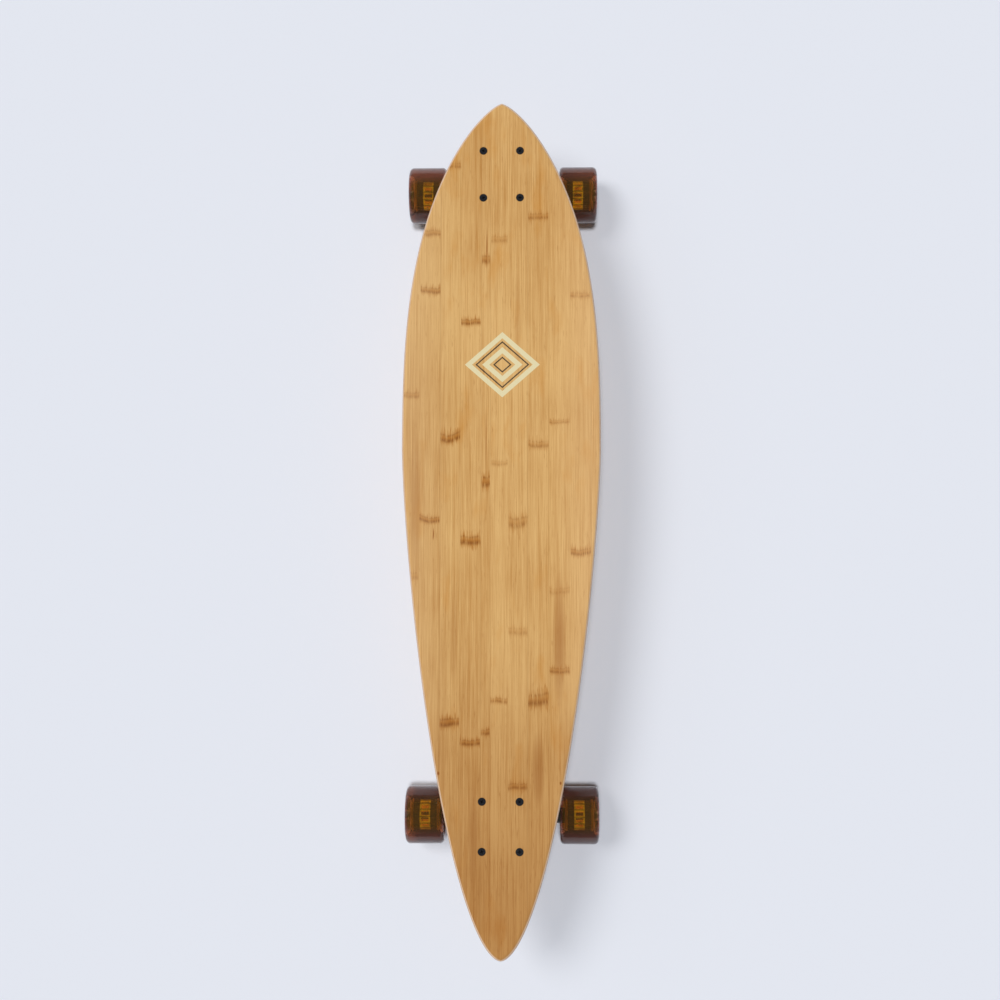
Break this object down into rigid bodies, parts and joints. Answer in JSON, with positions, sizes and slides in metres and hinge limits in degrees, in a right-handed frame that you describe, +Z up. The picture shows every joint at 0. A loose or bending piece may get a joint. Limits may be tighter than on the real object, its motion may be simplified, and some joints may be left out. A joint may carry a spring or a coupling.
{
  "type": "pintail longboard",
  "caption": "Long pintail bamboo deck with upturned edges on two reverse-kingpin trucks that lean to steer, with four soft cored wheels on sealed bearings.",
  "frame": {"origin": "centre of the board's bounding box on the ground plane under the wheels", "axes": "+Y towards the rounded nose, +Z up out of the deck's riding face, +X to the rider's right when facing the nose"},
  "size_m": [0.221, 0.953, 0.119],
  "materials": {
    "bamboo": "clear-coated bamboo strips",
    "maple_ply": "sealed ply edge",
    "riser_rubber": "matte",
    "truck_casting": "black powder coat, satin",
    "cup_plastic": "molded, natural",
    "zinc_steel": "zinc-plated",
    "axle_steel": "ground steel",
    "bearing_steel": "polished",
    "shield_rubber": "matte",
    "bushing_urethane": "cast urethane, semi-gloss",
    "black_steel": "black oxide",
    "wheel_urethane": "cast translucent urethane",
    "core_plastic": "molded amber plastic"
  },
  "bodies": {
    "deck": {"deck_top_veneer": "bamboo", "deck_core": "maple_ply", "deck_bottom_veneer": "bamboo", "front_riser_pad": "riser_rubber", "front_baseplate": "truck_casting", "front_pivot_cup": "cup_plastic", "front_kingpin": "zinc_steel", "front_kingpin_nut": "zinc_steel", "front_boardside_bushing": "bushing_urethane", "front_boardside_washer": "zinc_steel", "front_roadside_bushing": "bushing_urethane", "front_roadside_washer": "zinc_steel", "front_mounting_bolts": "black_steel", "front_mounting_nuts": "black_steel", "rear_riser_pad": "riser_rubber", "rear_baseplate": "truck_casting", "rear_pivot_cup": "cup_plastic", "rear_kingpin": "zinc_steel", "rear_kingpin_nut": "zinc_steel", "rear_boardside_bushing": "bushing_urethane", "rear_boardside_washer": "zinc_steel", "rear_roadside_bushing": "bushing_urethane", "rear_roadside_washer": "zinc_steel", "rear_mounting_bolts": "black_steel", "rear_mounting_nuts": "black_steel"},
    "front_hanger": {"front_hanger": "truck_casting", "front_axle": "axle_steel", "front_axle_nuts": "zinc_steel", "front_speed_washers": "zinc_steel", "front_bearing_inner_rings": "bearing_steel", "front_bearing_spacers": "zinc_steel"},
    "rear_hanger": {"rear_hanger": "truck_casting", "rear_axle": "axle_steel", "rear_axle_nuts": "zinc_steel", "rear_speed_washers": "zinc_steel", "rear_bearing_inner_rings": "bearing_steel", "rear_bearing_spacers": "zinc_steel"},
    "front_left_wheel": {"front_left_tyre": "wheel_urethane", "front_left_core": "core_plastic", "front_left_bearing_outer_rings": "bearing_steel", "front_left_bearing_shields": "shield_rubber"},
    "front_left_ball_sets": {"front_left_bearing_balls": "bearing_steel"},
    "front_right_wheel": {"front_right_tyre": "wheel_urethane", "front_right_core": "core_plastic", "front_right_bearing_outer_rings": "bearing_steel", "front_right_bearing_shields": "shield_rubber"},
    "front_right_ball_sets": {"front_right_bearing_balls": "bearing_steel"},
    "rear_left_wheel": {"rear_left_tyre": "wheel_urethane", "rear_left_core": "core_plastic", "rear_left_bearing_outer_rings": "bearing_steel", "rear_left_bearing_shields": "shield_rubber"},
    "rear_left_ball_sets": {"rear_left_bearing_balls": "bearing_steel"},
    "rear_right_wheel": {"rear_right_tyre": "wheel_urethane", "rear_right_core": "core_plastic", "rear_right_bearing_outer_rings": "bearing_steel", "rear_right_bearing_shields": "shield_rubber"},
    "rear_right_ball_sets": {"rear_right_bearing_balls": "bearing_steel"}
  },
  "joints": [
    {"name": "front_steer", "type": "hinge", "parent": "deck", "child": "front_hanger", "pos_m": [0, 0.394, 0.06809], "axis": [0, 0.6428, 0.766], "range_deg": [-20, 20], "deforming": ["front_boardside_bushing", "front_roadside_bushing"]},
    {"name": "rear_steer", "type": "hinge", "parent": "deck", "child": "rear_hanger", "pos_m": [0, -0.332, 0.06809], "axis": [0, -0.6428, 0.766], "range_deg": [-20, 20], "deforming": ["rear_boardside_bushing", "rear_roadside_bushing"]},
    {"name": "front_left_wheel_spin", "type": "hinge", "parent": "front_hanger", "child": "front_left_wheel", "pos_m": [-0.088, 0.39286, 0.0325], "axis": [1, 0, 0], "continuous": true},
    {"name": "front_left_ball_orbit", "type": "hinge", "parent": "front_hanger", "child": "front_left_ball_sets", "pos_m": [-0.088, 0.39286, 0.0325], "axis": [1, 0, 0], "continuous": true},
    {"name": "front_right_wheel_spin", "type": "hinge", "parent": "front_hanger", "child": "front_right_wheel", "pos_m": [0.088, 0.39286, 0.0325], "axis": [1, 0, 0], "continuous": true},
    {"name": "front_right_ball_orbit", "type": "hinge", "parent": "front_hanger", "child": "front_right_ball_sets", "pos_m": [0.088, 0.39286, 0.0325], "axis": [1, 0, 0], "continuous": true},
    {"name": "rear_left_wheel_spin", "type": "hinge", "parent": "rear_hanger", "child": "rear_left_wheel", "pos_m": [-0.088, -0.33086, 0.0325], "axis": [1, 0, 0], "continuous": true},
    {"name": "rear_left_ball_orbit", "type": "hinge", "parent": "rear_hanger", "child": "rear_left_ball_sets", "pos_m": [-0.088, -0.33086, 0.0325], "axis": [1, 0, 0], "continuous": true},
    {"name": "rear_right_wheel_spin", "type": "hinge", "parent": "rear_hanger", "child": "rear_right_wheel", "pos_m": [0.088, -0.33086, 0.0325], "axis": [1, 0, 0], "continuous": true},
    {"name": "rear_right_ball_orbit", "type": "hinge", "parent": "rear_hanger", "child": "rear_right_ball_sets", "pos_m": [0.088, -0.33086, 0.0325], "axis": [1, 0, 0], "continuous": true}
  ],
  "couplings": [
    {"joint": "front_left_ball_orbit", "follows": "front_left_wheel_spin", "ratio": 0.6323},
    {"joint": "front_right_ball_orbit", "follows": "front_right_wheel_spin", "ratio": 0.6323},
    {"joint": "rear_left_ball_orbit", "follows": "rear_left_wheel_spin", "ratio": 0.6323},
    {"joint": "rear_right_ball_orbit", "follows": "rear_right_wheel_spin", "ratio": 0.6323}
  ]
}
